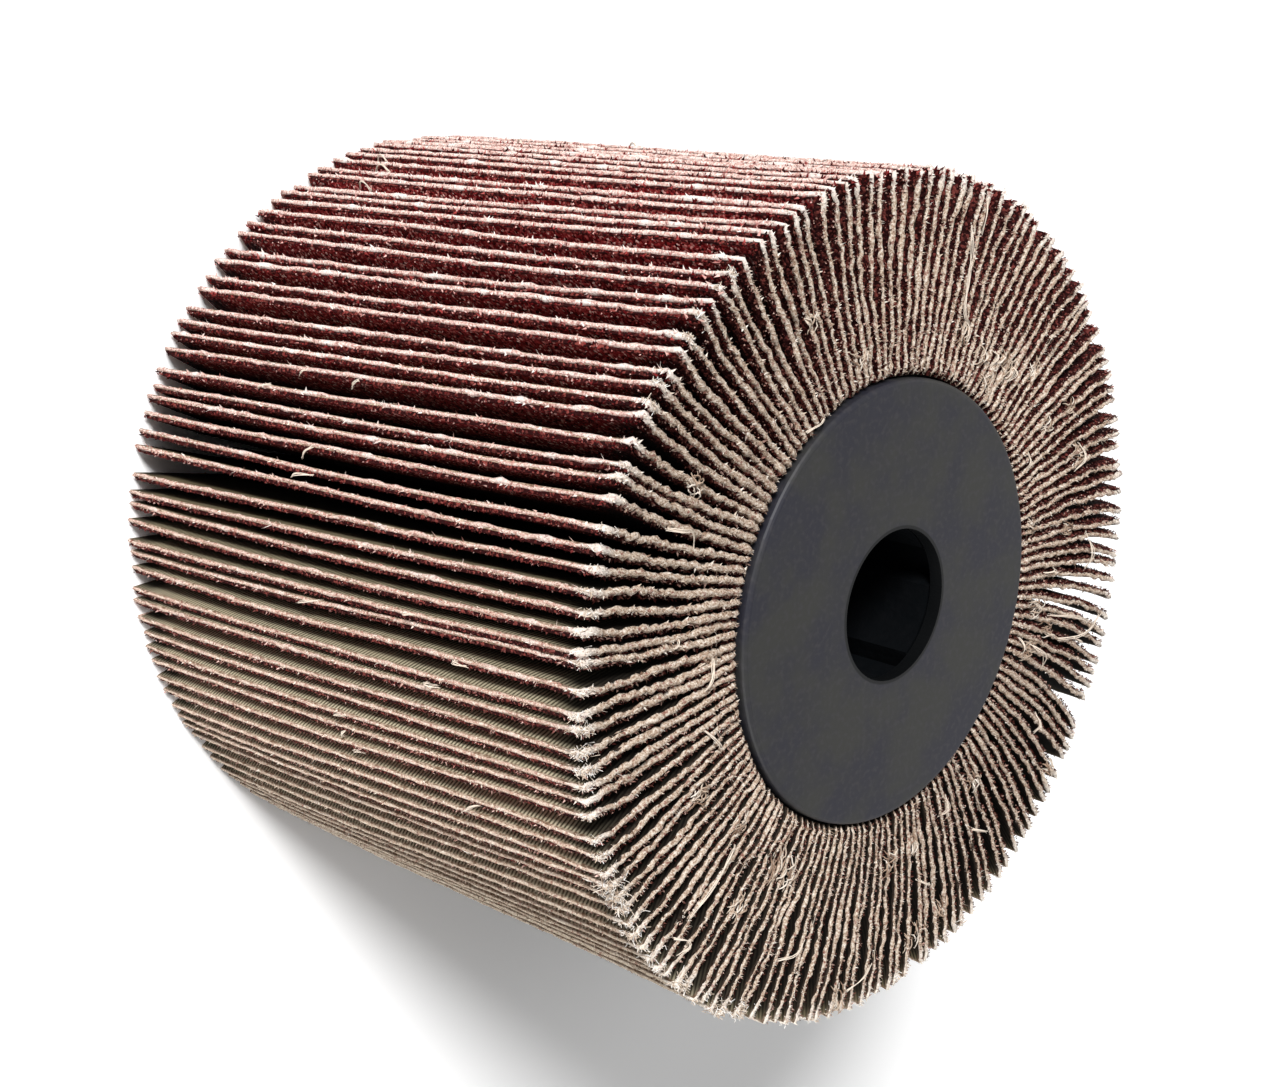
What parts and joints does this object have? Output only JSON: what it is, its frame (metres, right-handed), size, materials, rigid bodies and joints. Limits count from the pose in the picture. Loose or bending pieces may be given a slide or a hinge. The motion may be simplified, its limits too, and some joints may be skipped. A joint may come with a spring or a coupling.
{
  "type": "flap wheel",
  "caption": "Drum-shaped abrasive flap wheel: a ring of standing abrasive cloth flaps cast into a resin core between two round side plates, with a keyed through bore.",
  "frame": {"origin": "on the wheel's axis, in the outer face of the rear side plate, which is the surface the wheel stands on", "axes": "+Z along the wheel's axis, out of the front side plate; +X towards zero degrees round the wheel, from which the first keyway lies 15 degrees towards +Y"},
  "size_m": [0.105, 0.1048, 0.0888],
  "materials": {
    "abrasive_cloth": "cotton cloth flaps with a dark red-brown abrasive grain on one side and frayed pale cut edges",
    "plate_lacquer": "satin dark grey lacquer",
    "core_resin": "matt black cast resin"
  },
  "bodies": {
    "root": {"flap_pack": "abrasive_cloth", "front_side_plate": "plate_lacquer", "rear_side_plate": "plate_lacquer", "keyed_core_tube": "core_resin"}
  },
  "joints": []
}
